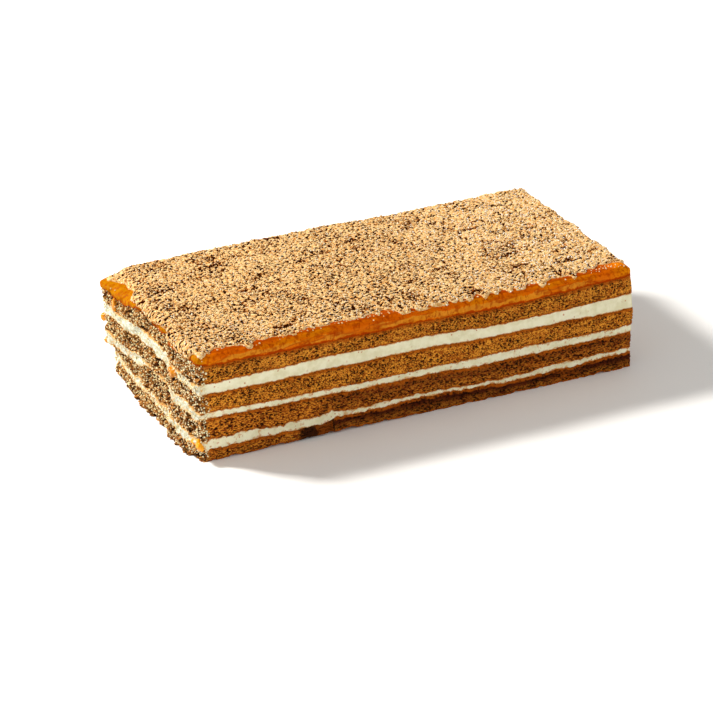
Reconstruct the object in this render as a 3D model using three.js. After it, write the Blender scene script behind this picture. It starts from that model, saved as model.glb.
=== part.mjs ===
// Layered biscuit cake: a cut slab of four sponge sheets with cream between them, a caramel jelly
// on top and a coat of biscuit crumbs. Its front, back and right sides are clean knife cuts, and its
// left end is torn and craggy.
// Millimetres, +Z up, +X along the slab, front cut facing -Y, origin under the middle of the base.
import * as THREE from "three";
import { mergeVertices } from "three/addons/utils/BufferGeometryUtils.js";

// Driving dimensions
const LENGTH = 200;
const WIDTH = 104;
const LAYER_GAP = 0.3; // kept free between two layers
const RIPPLE = 0.35; // how far a boundary between layers waves up and down
const RIPPLE_RUN = 34; // distance between two such waves
const CORNER_PULL = 0.6; // how far the slab's upright edges are pulled in along X and along Y

// The stack from the base up, with each layer's thickness at five stations along the slab. The layers
// sag a little at the fourth.
const STATIONS = [-100, -50, 0, 37, 100];
const STACK = [
  { name: "sponge_1", kind: "sponge", thickness: [6.5, 6.4, 7.2, 5.7, 6.5], colour: 0x7d451a },
  { name: "cream_1", kind: "cream", thickness: [3.8, 3.4, 2.5, 2.5, 2.9], colour: 0xe9e2c4 },
  { name: "sponge_2", kind: "sponge", thickness: [9.0, 8.8, 7.7, 8.2, 7.4], colour: 0x8f5521 },
  { name: "cream_2", kind: "cream", thickness: [3.0, 2.5, 3.5, 4.0, 2.7], colour: 0xe9e2c4 },
  { name: "sponge_3", kind: "sponge", thickness: [8.3, 9.0, 9.2, 8.3, 8.3], colour: 0xa6692c },
  { name: "cream_3", kind: "cream", thickness: [4.8, 5.8, 5.5, 5.0, 6.9], colour: 0xe9e2c4 },
  { name: "sponge_4", kind: "sponge", thickness: [8.1, 6.7, 6.9, 7.7, 8.3], colour: 0xa6692c },
  { name: "caramel_jelly", kind: "jelly", thickness: [4.9, 6.1, 5.8, 6.3, 4.7], colour: 0xd07a14 },
];

// How each kind of layer ends at the slab's sides. Crown is how far its wall bows out, rough is the
// height of its unevenness on a clean cut, crag the same on the torn end, and round the radius of its
// upper edge. Rises are the levels of the wall's rows, as shares of the layer's thickness.
const KINDS = {
  sponge: { crown: 0.35, rough: 0.3, crag: 1.1, round: 0, rises: [0, 0.33, 0.67, 1], roughness: 0.95 },
  cream: { crown: -0.3, rough: 0.2, crag: 0.6, round: 0, rises: [0, 0.5, 1], roughness: 0.6 },
  jelly: { crown: 0.3, rough: 0.15, crag: 0.6, round: 1.8, rises: [0, 0.4, 0.72, 0.9, 1], roughness: 0.2 },
};
const ROUND_START = 0.55; // share of the jelly's thickness where its rounded upper edge begins
const UNEVEN_RUN = 5; // width of one bump on a side
const ROWS_PER_LAYER = 7; // keeps the unevenness of two layers apart

// What stands out beyond the slab's nominal end at the torn left end: a block in front of a crease,
// most at the crease
const CREASE_Y = -21;
const CREASE_DEPTH = 0.9;
const CREASE_RUN = 3;
const BLOCK_OUT = 1.6;
const BLOCK_FRONT_OUT = 0.3;
const BLOCK_END_RUN = 4;

// The torn end's foot, where it has spread: how high it reaches, how far from the front corner it is
// full, and where it begins to end towards the rear corner
const FOOT_OUT = 2.4;
const FOOT_LEVEL = 18;
const FOOT_RUN = 14;
const FOOT_END = 15;

// The torn end's swell towards the rear corner, between a level where it begins and one where it is full
const REAR_START = 2;
const REAR_OUT = 3.8;
const REAR_LEVEL = 10;
const REAR_FULL_LEVEL = 21;

// How far the cut right end stands out beyond the nominal end, with a bow that is most at a level
const RIGHT_OUT = 1.2;
const RIGHT_BOW = 1.5;
const RIGHT_BOW_LEVEL = 28;
const RIGHT_BOW_REACH = 15;

// Beads of caramel stuck to the torn end: the layer, the place along the end, the width and the bulge
const BEADS = [
  { layer: "cream_1", y: -50, run: 3.5, bulge: 1.8 },
  { layer: "sponge_3", y: -26, run: 3, bulge: 1.2 },
  { layer: "caramel_jelly", y: 47, run: 5, bulge: 2.2 },
];

// Points along each side of a layer
const LONG_STEPS = 28;
const TORN_STEPS = 28;
const RIGHT_STEPS = 12;

// The crumb coat: its distance from the slab's edges, its thickness and its grid of crumbs
const COAT = {
  frontSetback: 3.2,
  backSetback: 1.6,
  endSetback: 1.4,
  ragged: 1.1,
  raggedRun: 7,
  rim: 0.55,
  bed: 0.8,
  crumb: 1.2,
  jitter: 0.3,
  columns: 72,
  rows: 38,
  colour: 0xdcaf74,
  roughness: 0.95,
};

// A repeatable random value from 0 to 1 for a whole-number place and a seed.
function chance(i, j, seed) {
  const mixed = Math.sin(i * 127.1 + j * 311.7 + seed * 74.7) * 43758.5453;
  return mixed - Math.floor(mixed);
}

const smooth = (t) => t * t * (3 - 2 * t);
const mix = (a, b, t) => a + (b - a) * t;
const ramp = (t) => smooth(THREE.MathUtils.clamp(t, 0, 1));
const hump = (t) => Math.exp(-t * t);

// Smooth repeatable noise from -1 to 1, with one bump for each whole step of a or b.
function noise(a, b, seed) {
  const i = Math.floor(a);
  const j = Math.floor(b);
  const s = smooth(a - i);
  const low = mix(chance(i, j, seed), chance(i + 1, j, seed), s);
  const high = mix(chance(i, j + 1, seed), chance(i + 1, j + 1, seed), s);
  return 2 * mix(low, high, smooth(b - j)) - 1;
}

// A layer's thickness at x, with a smooth way from each station to the next.
function thicknessAt(layer, x) {
  let thickness = layer.thickness[0];
  for (let i = 1; i < STATIONS.length; i++) {
    const share = ramp((x - STATIONS[i - 1]) / (STATIONS[i] - STATIONS[i - 1]));
    thickness += (layer.thickness[i] - layer.thickness[i - 1]) * share;
  }
  return thickness;
}

// Height of the boundary under the layer of that index. The base is flat, and the others wave.
function levelAt(index, x, y) {
  if (index === 0) return 0;
  const below = STACK.slice(0, index).reduce((sum, layer) => sum + thicknessAt(layer, x), 0);
  return below + RIPPLE * noise(x / RIPPLE_RUN, y / RIPPLE_RUN, index);
}

// The lower and upper faces of a layer, half a gap inside its boundaries.
const bottomOf = (index) => (x, y) => levelAt(index, x, y) + (index === 0 ? 0 : LAYER_GAP / 2);
const topOf = (index) => (x, y) => levelAt(index + 1, x, y) - LAYER_GAP / 2;

// How far the torn left end stands out beyond the slab's nominal end, at a height and a place along it.
function standOut(height, y) {
  const front = -WIDTH / 2;
  const block = mix(BLOCK_FRONT_OUT, BLOCK_OUT, (y - front) / (CREASE_Y - front));
  const blockShare = ramp((CREASE_Y - y) / BLOCK_END_RUN + 1);
  const crease = CREASE_DEPTH * hump((y - CREASE_Y - BLOCK_END_RUN) / CREASE_RUN);
  const footShare = ramp((y - front) / FOOT_RUN) * ramp((front + y) / (front + FOOT_END));
  const foot = FOOT_OUT * footShare * ramp(1 - height / FOOT_LEVEL);
  const rearShare = ramp((y - REAR_START) / (WIDTH / 2 - REAR_START));
  const rear = REAR_OUT * rearShare * ramp((height - REAR_LEVEL) / (REAR_FULL_LEVEL - REAR_LEVEL));
  return block * blockShare - crease + foot + rear;
}

// How far the right end stands out beyond the slab's nominal end, at a height.
const rightOut = (height) => RIGHT_OUT + RIGHT_BOW * hump((height - RIGHT_BOW_LEVEL) / RIGHT_BOW_REACH);

// The slab's outline seen from above, anticlockwise from the left front corner. Each place has the
// direction that points out of the slab, and the torn end's and the right end's places are marked.
function outline(longSteps, rightSteps, tornSteps) {
  const places = [];
  const halfLength = LENGTH / 2;
  const halfWidth = WIDTH / 2;
  for (let i = 0; i < longSteps; i++) {
    places.push({ x: mix(-halfLength, halfLength, i / longSteps), y: -halfWidth, outX: 0, outY: -1 });
  }
  for (let i = 0; i < rightSteps; i++) {
    const y = mix(-halfWidth, halfWidth, i / rightSteps);
    places.push({ x: halfLength, y, outX: 1, outY: 0, right: true });
  }
  for (let i = 0; i < longSteps; i++) {
    places.push({ x: mix(halfLength, -halfLength, i / longSteps), y: halfWidth, outX: 0, outY: 1 });
  }
  for (let i = 0; i < tornSteps; i++) {
    const y = mix(halfWidth, -halfWidth, i / tornSteps);
    places.push({ x: -halfLength, y, outX: -1, outY: 0, torn: true });
  }
  for (const corner of [0, longSteps, longSteps + rightSteps, 2 * longSteps + rightSteps]) {
    const place = places[corner];
    place.outX = Math.sign(place.x) * Math.SQRT1_2;
    place.outY = Math.sign(place.y) * Math.SQRT1_2;
    place.x -= Math.sign(place.x) * CORNER_PULL;
    place.y -= Math.sign(place.y) * CORNER_PULL;
  }
  places[0].torn = true;
  places[longSteps + rightSteps].right = true;
  return places;
}

// A point on a layer's side wall, at a place of the outline and a share of the layer's thickness.
function wallPoint(index, place, rise) {
  const layer = STACK[index];
  const kind = KINDS[layer.kind];
  const along = (place.x + place.y) / UNEVEN_RUN;
  const height = place.torn ? kind.crag : kind.rough;
  const uneven = height * noise(along, index * ROWS_PER_LAYER + 2 * rise, 11);
  const over = Math.max(0, (rise - ROUND_START) / (1 - ROUND_START));
  const rounded = kind.round * (1 - Math.sqrt(1 - over * over));
  let out = kind.crown * Math.sin(Math.PI * rise) + uneven - rounded;
  let x = place.x;
  const level = mix(levelAt(index, x, place.y), levelAt(index + 1, x, place.y), rise);
  if (place.right) x += rightOut(level);
  if (place.torn) {
    x -= standOut(level, place.y);
    for (const bead of BEADS.filter((b) => b.layer === layer.name)) {
      out += bead.bulge * hump((place.y - bead.y) / bead.run) * Math.sin(Math.PI * rise);
    }
  }
  x += place.outX * out;
  const y = place.y + place.outY * out;
  return new THREE.Vector3(x, y, mix(bottomOf(index)(x, y), topOf(index)(x, y), rise));
}

// Gathers the triangles of one solid. All turn anticlockwise seen from outside.
class Skin {
  corners = [];

  triangle(a, b, c) {
    this.corners.push(a, b, c);
  }

  quad(a, b, c, d) {
    this.triangle(a, b, c);
    this.triangle(a, c, d);
  }

  // Joins rings of points, given from the bottom up, into an upright wall.
  wall(rings) {
    for (let row = 0; row + 1 < rings.length; row++) {
      const lower = rings[row];
      const upper = rings[row + 1];
      lower.forEach((point, i) => {
        const next = (i + 1) % lower.length;
        this.quad(point, lower[next], upper[next], upper[i]);
      });
    }
  }

  // A fan of triangles from a hub to a closed loop of points.
  fan(hub, loop) {
    loop.forEach((point, i) => this.triangle(hub, point, loop[(i + 1) % loop.length]));
  }

  // Turns every triangle that was added after a count of corners over, so that it faces down.
  turnOver(from) {
    for (let i = from; i < this.corners.length; i += 3) {
      [this.corners[i + 1], this.corners[i + 2]] = [this.corners[i + 2], this.corners[i + 1]];
    }
  }

  // Closes a ring with strips that run across the slab. At each end a strip of short quads follows
  // the uneven edge, and a fan joins it to the strips. Surface gives the height of an inner point.
  cap(ring, longSteps, rightSteps, surface, facesDown) {
    const from = this.corners.length;
    const back = 2 * longSteps + rightSteps;
    const tornEnd = [...ring.slice(back), ring[0]];
    const rightEnd = ring.slice(longSteps, longSteps + rightSteps + 1);
    const inner = (a, b, point, t) => {
      const x = mix(a.x, b.x, t);
      return new THREE.Vector3(x, point.y, surface(x, point.y));
    };
    const insideOf = (end, a, b) =>
      end.map((point, i) => {
        if (i === 0) return a;
        if (i === end.length - 1) return b;
        return inner(a, b, point, i / (end.length - 1));
      });
    const closeEnd = (end, a, b, c, d) => {
      const inside = insideOf(end, a, b);
      for (let i = 0; i + 1 < end.length; i++) {
        this.quad(inside[i], end[i], end[i + 1], inside[i + 1]);
      }
      const x = (a.x + b.x + c.x + d.x) / 4;
      const y = (a.y + b.y + c.y + d.y) / 4;
      this.fan(new THREE.Vector3(x, y, surface(x, y)), [...inside, d, c]);
    };
    closeEnd(tornEnd, ring[back - 1], ring[1], ring[back - 2], ring[2]);
    closeEnd(
      rightEnd,
      ring[longSteps - 1],
      ring[longSteps + rightSteps + 1],
      ring[longSteps - 2],
      ring[longSteps + rightSteps + 2],
    );
    for (let i = 2; i < longSteps - 2; i++) {
      this.quad(ring[i], ring[i + 1], ring[back - i - 1], ring[back - i]);
    }
    if (facesDown) this.turnOver(from);
  }

  geometry() {
    const closed = mergeVertices(new THREE.BufferGeometry().setFromPoints(this.corners), 1e-4);
    closed.computeVertexNormals();
    return closed;
  }
}

function solid(name, skin, colour, roughness) {
  const material = new THREE.MeshStandardMaterial({ color: colour, roughness, metalness: 0 });
  const mesh = new THREE.Mesh(skin.geometry(), material);
  mesh.name = name;
  return mesh;
}

// One sheet of sponge, cream or jelly, from the front cut to the back and from end to end.
function sheet(index) {
  const { name, kind, colour } = STACK[index];
  const { rises, roughness } = KINDS[kind];
  const places = outline(LONG_STEPS, RIGHT_STEPS, TORN_STEPS);
  const rings = rises.map((rise) => places.map((place) => wallPoint(index, place, rise)));
  const skin = new Skin();
  skin.wall(rings);
  skin.cap(rings[0], LONG_STEPS, RIGHT_STEPS, bottomOf(index), true);
  skin.cap(rings.at(-1), LONG_STEPS, RIGHT_STEPS, topOf(index), false);
  return solid(name, skin, colour, roughness);
}

// A place on the crumb coat's grid seen from above: its border is ragged, and its crumbs are set unevenly.
function crumbPlace(column, row) {
  const { columns, rows, ragged, raggedRun, jitter } = COAT;
  const u = column / columns;
  const v = row / rows;
  const edge = (t, seed) => ragged * noise(t / raggedRun, 0, seed);
  const y0 = -WIDTH / 2 + COAT.frontSetback + edge(u * LENGTH, 21);
  const y1 = WIDTH / 2 - COAT.backSetback + edge(u * LENGTH, 22);
  let y = mix(y0, y1, v);
  const end = -LENGTH / 2;
  const x0 = end + COAT.endSetback - standOut(levelAt(STACK.length, end, y), y) + edge(v * WIDTH, 23);
  const x1 = -end - COAT.endSetback + rightOut(levelAt(STACK.length, -end, y)) + edge(v * WIDTH, 24);
  let x = mix(x0, x1, u);
  const inside = column > 0 && column < columns && row > 0 && row < rows;
  if (inside) {
    x += (jitter * LENGTH * (2 * chance(column, row, 31) - 1)) / columns;
    y += (jitter * WIDTH * (2 * chance(column, row, 32) - 1)) / rows;
  }
  return { x, y, inside };
}

// The coat of crumbs: an even bed on the jelly with a bump for each crumb of the grid.
function crumbCoat() {
  const { columns, rows, rim, bed, crumb, colour, roughness } = COAT;
  const jelly = STACK.length;
  const floor = (x, y) => levelAt(jelly, x, y) + LAYER_GAP / 2;
  const grid = [];
  for (let column = 0; column <= columns; column++) {
    grid.push([]);
    for (let row = 0; row <= rows; row++) {
      const { x, y, inside } = crumbPlace(column, row);
      const height = inside ? bed + crumb * chance(column, row, 33) : rim;
      grid[column].push(new THREE.Vector3(x, y, floor(x, y) + height));
    }
  }
  const ring = [
    ...grid.slice(0, columns).map((points) => points[0]),
    ...grid[columns].slice(0, rows),
    ...grid.slice(1).reverse().map((points) => points[rows]),
    ...grid[0].slice(1).reverse(),
  ];
  const foot = ring.map(({ x, y }) => new THREE.Vector3(x, y, floor(x, y)));
  const skin = new Skin();
  skin.wall([foot, ring]);
  skin.cap(foot, columns, rows, floor, true);
  for (let column = 0; column < columns; column++) {
    for (let row = 0; row < rows; row++) {
      const [a, b] = [grid[column], grid[column + 1]];
      skin.quad(a[row], b[row], b[row + 1], a[row + 1]);
    }
  }
  return solid("crumb_coat", skin, colour, roughness);
}

// The finished cake, with its base on the ground and the middle of its outline over the origin.
function biscuitCake() {
  const cake = new THREE.Group();
  cake.name = "biscuit_cake";
  STACK.forEach((layer, index) => cake.add(sheet(index)));
  cake.add(crumbCoat());
  const middle = new THREE.Box3().setFromObject(cake).getCenter(new THREE.Vector3());
  cake.position.set(-middle.x, -middle.y, 0);
  return cake;
}

export default biscuitCake();
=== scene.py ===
"""Dresses a cut slab of layered biscuit cake: pored sponge, cream, caramel jelly and loose crumbs."""

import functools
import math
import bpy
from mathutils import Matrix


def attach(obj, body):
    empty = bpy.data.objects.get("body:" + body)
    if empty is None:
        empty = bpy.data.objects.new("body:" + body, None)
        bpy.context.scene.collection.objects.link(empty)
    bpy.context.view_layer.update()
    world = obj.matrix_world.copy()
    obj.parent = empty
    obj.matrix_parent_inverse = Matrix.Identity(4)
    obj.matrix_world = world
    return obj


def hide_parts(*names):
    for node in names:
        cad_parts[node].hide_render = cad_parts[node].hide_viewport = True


bl_info = {
    "name": "Biscuit Cake",
    "version": (1, 0, 0),
    "blender": (4, 5, 0),
    "location": "View3D > Sidebar > Cake",
    "description": "Dresses a cut slab of layered biscuit cake with sponge, cream, jelly and crumbs",
    "category": "Add Mesh",
}

from typing import NamedTuple

import bmesh
import bpy
import numpy as np
from bpy.props import FloatProperty, FloatVectorProperty, IntProperty, PointerProperty
from mathutils import Matrix, Vector, noise
from mathutils.bvhtree import BVHTree

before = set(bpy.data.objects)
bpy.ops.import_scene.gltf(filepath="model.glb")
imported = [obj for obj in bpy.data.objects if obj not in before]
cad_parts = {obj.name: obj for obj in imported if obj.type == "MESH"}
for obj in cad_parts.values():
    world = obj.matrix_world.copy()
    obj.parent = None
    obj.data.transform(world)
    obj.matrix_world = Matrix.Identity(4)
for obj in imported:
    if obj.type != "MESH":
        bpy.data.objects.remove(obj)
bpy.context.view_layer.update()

MM = 0.001
BODY = "root"
SPONGES = ("sponge_1", "sponge_2", "sponge_3", "sponge_4")
CREAMS = ("cream_1", "cream_2", "cream_3")
JELLY = "caramel_jelly"
COAT = "crumb_coat"
STACK = ("sponge_1", "cream_1", "sponge_2", "cream_2", "sponge_3", "cream_3", "sponge_4", JELLY)

# Longer side of the photograph's frame, in pixels
FRAME_SIDE = 714

# The slab without what stands out of its torn end, with its middle along X and halfway up
SLAB_LENGTH = 200 * MM
SLAB_WIDTH = 104 * MM
SLAB_X = 1.54 * MM
SLAB_MIDDLE = Vector((SLAB_X, 0, 24.5 * MM))

# How the CAD layers are read: the distance between places, how far inside, at which rises, from how far off
PROBE_STEP = 1.4 * MM
PROBE_INSET = 9 * MM
PROBE_RISES = (0.1, 0.36, 0.64, 0.9)
FAR = 300 * MM

# How far inside a layer's hidden faces are closed, and how far in its crumbs end
CAP_INSET = 12 * MM
LIP = 0.4 * MM

# Rows of points up a sponge, a cream layer and the jelly, and in the jelly's rounded edge
SPONGE_ROWS = 26
CREAM_ROWS = 12
JELLY_ROWS = 14
BEND_ROWS = 8

# Rows of points on the jelly's top, in millimetres from its rounded edge
TOP_ROWS = (0.5, 1, 1.5, 2, 2.6, 3.3, 4.2, 5.2, 6.5, 8)

# The crease between the torn end's two blocks and the start of its rear corner, along Y in millimetres
CREASE_Y = -18.0
CREASE_REACH = 3.5
REAR_Y = 44.0
REAR_REACH = 9.0

# How far the torn end's crumbs reach round its corners in millimetres, and how soon a corner turns torn
WRAP = 4.0
TORN_ONSET = 1.3

# A column faces left where its outward direction has at least this share of that way
FACING = 0.99

# How much a torn sponge thins at the crease and the rear corner, and swells elsewhere, in millimetres
ROUNDED_END = 1.3
SWELL = 0.3

# Waves of a boundary, in millimetres: length, height on a cut, and how much higher on the torn end
COARSE_WAVE = (7.0, 0.26, 0.4)
MIDDLING_WAVE = (3.0, 0.45, 0.0)
FINE_WAVE = (1.5, 0.2, 0.25)

# Factors of a boundary's coarse and fine waves and of its middling ones, higher for the lowest boundaries
LUMPY_BOUNDARIES = (1, 2)
LUMPY = (1.5, 0.7)
CALM = (1.0, 0.2)

# Butt joints of the lower sponges in millimetres: place along X, reach of the caramel left of it, darkness
SEAMS = {"sponge_1": (-41.5, 11.0, 1.0), "sponge_2": (-43.5, 6.0, 0.16)}
SEAM_GAP = 0.7

# At the lowest joint, in millimetres: how much thicker the sponge right of it is, and a peak of cream
SEAM_STEP = 1.2
PEAK_HEIGHT = 1.5
PEAK_REACH = 1.1

# The base is arched and ragged along the front, in millimetres
ARCH_HEIGHT = 0.9
ARCH_REACH = 34.0
RAGGED_HEIGHT = 0.9
RAGGED_RUN = 3.0

# How far crumbs hang over the torn end, at places along Y, all in millimetres
HANG_Y = (-52, -47, -43, -24, -20, -14, -4, 10, 20, 24, 28, 33, 40, 45, 48, 52)
HANG = (1.0, 2.0, 6.0, 6.5, 3.8, 3.0, 4.2, 5.0, 5.0, 4.0, 2.2, 0.2, -0.4, 2.0, 4.0, 4.0)

# How far the lower boundaries of layers are shifted on the torn end, at places along Y, in millimetres
TORN_Y = (-52, -47, -24, -19, -14, 4, 16, 36, 48, 52)
TORN_SHIFT = {
    "cream_2": (0.0, -1.6, -2.0, -2.0, 0.3, 0.3, -1.8, -2.8, -2.4, -1.6),
    "sponge_3": (0.0, 0.6, 0.6, 0.0, -0.7, -0.7, 0.0, 0.3, 0.3, 0.0),
    "cream_3": (0.0, 0.6, 0.6, 0.0, -0.6, -0.6, -0.3, 0.0, 0.0, 0.0),
    "sponge_4": (0.0, -0.6, -0.6, 0.3, 0.6, 0.6, 0.3, 0.0, 0.0, 0.0),
    JELLY: (0.0, 0.0, 0.0, 0.0, 0.0, 0.0, 0.4, -3.2, -1.2, 0.0),
}

# How densely crumbs lie on the torn end's cream, at the same places
CREAM_CRUMBS = {
    "cream_1": (0.1, 0.1, 0.15, 0.5, 0.8, 0.6, 0.2, 0.1, 0.2, 0.4),
    "cream_2": (0.1, 0.1, 0.1, 0.2, 0.7, 0.5, 0.15, 0.1, 0.1, 0.4),
    "cream_3": (0.3, 0.5, 0.5, 0.2, 0.05, 0.05, 0.05, 0.05, 0.1, 0.2),
}

# How densely crumbs lie on the torn end's sponge and jelly, and on the jelly's front edge
SPONGE_CRUMBS = 1.0
JELLY_CRUMBS = 0.04
JELLY_STRAYS = 2.0

# The jelly's top slopes down to the rear of the torn end: how far, and where along X and Y, in millimetres
DROOP = 2.4
DROOP_X = (-91.0, -100.0)
DROOP_Y = (14.0, 24.0)

# Steps of the crumb bed's upper grid in one step of its lower one
BED_CELL = 8

# How the jelly under the bed is read: the number of places along X and Y, and the rise on its left wall
BED_PROBES = (41, 21)
BED_WALL_RISE = 0.6

# How deep the crumb bed's border and its lower side are sunk into the jelly
BED_SINK = 0.35 * MM
BED_ROOT = 1.2 * MM

# How far in from the slab's left and back edges the bed ends, without what hangs over
BED_LEFT = 2.0 * MM
BED_BACK = 1.2 * MM

# The bed slopes down to its border, and loose crumbs begin close to that, in millimetres
BED_TAPER = 1.3
BED_CRUMBS_FROM = 0.3

# The bed is thinner at the front: share of its thickness there, and run to the full one in millimetres
BED_FRONT = 0.35
BED_FRONT_RUN = 14

# Waves of the bed's borders, coarse and fine ones: length and height in millimetres
RIGHT_WAVES = ((9, 0.6), (2.4, 0.5))
LEFT_WAVES = ((9, 0.9), (2.4, 0.7))
FRONT_WAVES = ((12, 0.9), (2.4, 2.3))
BACK_WAVES = ((12, 0.5), (2.4, 0.5))

# The jelly's front is barer at its right end and less so at its left: by how much, from where, over what run
BARE_RIGHT = (4.5 * MM, 78 * MM, 12 * MM)
BARE_LEFT = (1.6 * MM, 88 * MM, 9 * MM)

# Where the lower sponges turn darker, partly more soaked and partly painted shade, along X in millimetres
DEEPER_X = (-46, -38)

# Loose crumbs: number of forms, lowest place on the torn end, and reach of strays on the jelly's front edge
CRUMB_FORMS = 5
CRUMB_FLOOR = 1.6 * MM
STRAY_REACH = 5 * MM

# From one kind of crumbs to the next the seed rises by more than one kind uses
SEED_STEP = 10

# Dents in a drop of caramel: lengths of coarse and fine ones in millimetres, and depth as a share
DENT_RUNS = (1.6, 0.7)
DENT_SHARE = 0.28

# Points that are closer than this are joined, and edges shorter than this are dropped
WELD = 1e-6
SLIVER = 1e-7

# The stage in metres: the floor's side and its cells along it, and the lights' places, widths and tones
FLOOR_SIDE = 8
FLOOR_CELLS = 8
KEY_PLACE = (-0.76, 0.74, 0.88)
KEY_WIDTH = 0.25
KEY_TONE = (1.0, 0.98, 0.94)
FILL_PLACE = (0.5, -1.3, 0.9)
FILL_WIDTH = 0.9
FILL_TONE = (1.0, 0.98, 0.95)
SKY_TONE = (1.0, 0.985, 0.96)

# The camera: width of its sensor in millimetres and how far it sees in metres
SENSOR_WIDTH = 36
CLIP_END = 20


class SpongeLook(NamedTuple):
    """How one sponge sheet differs from the others.

    Its colour comes from a setting and is made stronger or weaker; the lower sheets are darker, partly more
    soaked and partly painted shade towards the bottom. Lightest turns that colour into that of its lightest
    parts, painted highlights on the crumb, and deep turns a pore's near-black painted shade into that of its
    darker right part.
    """

    setting: str
    strength: float
    lightest: tuple
    deep: tuple
    deep_share: float
    flat_pores: float


# The lower sheets are darker: partly more soaked, partly painted shade towards the bottom
SPONGE_LOOKS = (
    SpongeLook("sponge_low", 0.7, (2.15, 4.3, 7.5), (2.0, 0.9, 0.5), 0.84, 0.55),
    SpongeLook("sponge_low", 0.84, (2.15, 4.3, 7.5), (4.0, 1.3, 0.6), 0.52, 0.5),
    SpongeLook("sponge_top", 1.08, (1.3, 2.03, 3.1), (4.0, 1.3, 0.6), 0.0, 0.7),
    SpongeLook("sponge_top", 1.0, (1.3, 2.03, 3.1), (4.0, 1.3, 0.6), 0.0, 0.7),
)

# How far apart two sponges' patterns are, in millimetres
SPONGE_SHIFT = 40.0


class Drop(NamedTuple):
    """A drop of caramel on the torn end: place along Y and half widths in millimetres, rise on its layer."""

    layer: str
    along: float
    rise: float
    reach: tuple
    yellow: float


DROPS = (
    Drop("cream_1", -50.4, 0.35, (1.8, 2.2, 2.6), 1.0),
    Drop("cream_1", -46.0, 0.3, (1.2, 2.2, 1.5), 0.8),
    Drop("cream_3", -26.5, 0.2, (2.6, 3.6, 2.2), 0.2),
    Drop("sponge_4", 38.5, 0.5, (1.1, 1.8, 3.2), 0.35),
    Drop("sponge_3", 51.0, 0.6, (2.0, 2.0, 2.1), 0.6),
    Drop("sponge_2", 51.0, 1.0, (3.4, 2.2, 2.0), 0.6),
)


class CrumbKind(NamedTuple):
    """One kind of loose crumbs: what it lies on, how it is strewn, and its colours.

    Lift is a share of a crumb's width, apart is in millimetres, and widths are shares of the usual crumb's.
    """

    name: str
    sources: list
    in_gaps: bool
    lift: float
    apart: float
    widths: tuple
    dark: tuple
    light: tuple
    slot: str


# Settings


def srgb(red, green, blue):
    """A colour given as it shows on screen, from 0 to 255, as linear values."""
    parts = [value / 255 for value in (red, green, blue)]
    return tuple(part / 12.92 if part <= 0.04045 else ((part + 0.055) / 1.055) ** 2.4 for part in parts)


def size(name, default, description):
    """A length in millimetres for the panel."""
    return FloatProperty(name=name, default=default, min=0, description=description + ", in millimetres")


def number(name, default, description, unit="NONE"):
    """A number for the panel."""
    return FloatProperty(name=name, default=default, description=description, unit=unit)


def colour(name, screen, description):
    """A colour for the panel, given as it shows on screen."""
    return FloatVectorProperty(
        name=name, default=srgb(*screen), size=3, min=0, max=1, subtype="COLOR", description=description
    )


class CakeSizes(bpy.types.PropertyGroup):
    """Sizes of the fine shapes."""

    front_step: size("Front step", 0.32, "Distance between two points of the front cut")
    torn_step: size("Torn step", 0.26, "Distance between two points of the torn end")
    rear_step: size("Rear step", 0.42, "Distance between two points of the back and the right end")
    bed_step: size("Bed step", 0.48, "Distance between two points of the crumb bed")
    corner: size("Corner", 1.2, "Radius of the slab's upright edges")
    pore: size("Pore", 1.1, "Distance between two pores in the sponge")
    pore_depth: size("Pore depth", 0.7, "Depth of a pore in the sponge")
    crag: size("Crag", 1.15, "Height of the crags on the torn end")
    jelly_round: size("Jelly edge", 2.2, "Radius of the jelly's upper edge")
    front_setback: size("Front setback", 2.4, "Distance of the crumbs from the front cut")
    bed: size("Bed", 1.2, "Thickness of the crumb bed")
    crumb: size("Crumb", 0.95, "Usual width of a crumb")
    seed: IntProperty(name="Seed", default=7, description="Seed of everything that is random")


class CakeColours(bpy.types.PropertyGroup):
    """Colours of the layers."""

    sponge_top: colour("Upper sponge", (205, 111, 26), "Crumb of the two upper sponges")
    # Darker than the upper sponge: partly more soaked, partly painted shade towards the bottom
    sponge_low: colour("Lower sponge", (174, 77, 12), "Crumb of the two lower sponges")
    soaked: colour("Soaked edge", (186, 92, 10), "Sponge soaked with caramel next to the cream")
    # Painted shade: the near-black in the sponge's pores and torn gaps, in the crumb bed's gaps, and in the
    # lower sponges' darker right parts
    pore: colour("Pore", (40, 12, 1), "Depth of a pore in the sponge")
    cream: colour("Cream", (240, 235, 203), "Cream")
    jelly: colour("Jelly", (216, 96, 2), "Caramel jelly where it is thick and smooth")
    jelly_cut: colour("Cut jelly", (224, 142, 38), "Caramel jelly on the cut")
    jelly_thin: colour("Thin jelly", (222, 136, 4), "Caramel jelly where light passes through it")
    crumb_pale: colour("Pale crumb", (250, 238, 206), "Pale biscuit crumbs")
    crumb_tan: colour("Tan crumb", (237, 201, 141), "Usual biscuit crumbs")
    crumb_gold: colour("Golden crumb", (219, 153, 76), "Golden biscuit crumbs")
    crumb_brown: colour("Brown crumb", (160, 82, 22), "Toasted biscuit crumbs")
    drop: colour("Drop", (240, 156, 14), "Drops of caramel")
    floor: colour("Floor", (250, 249, 247), "Plain floor")


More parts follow.
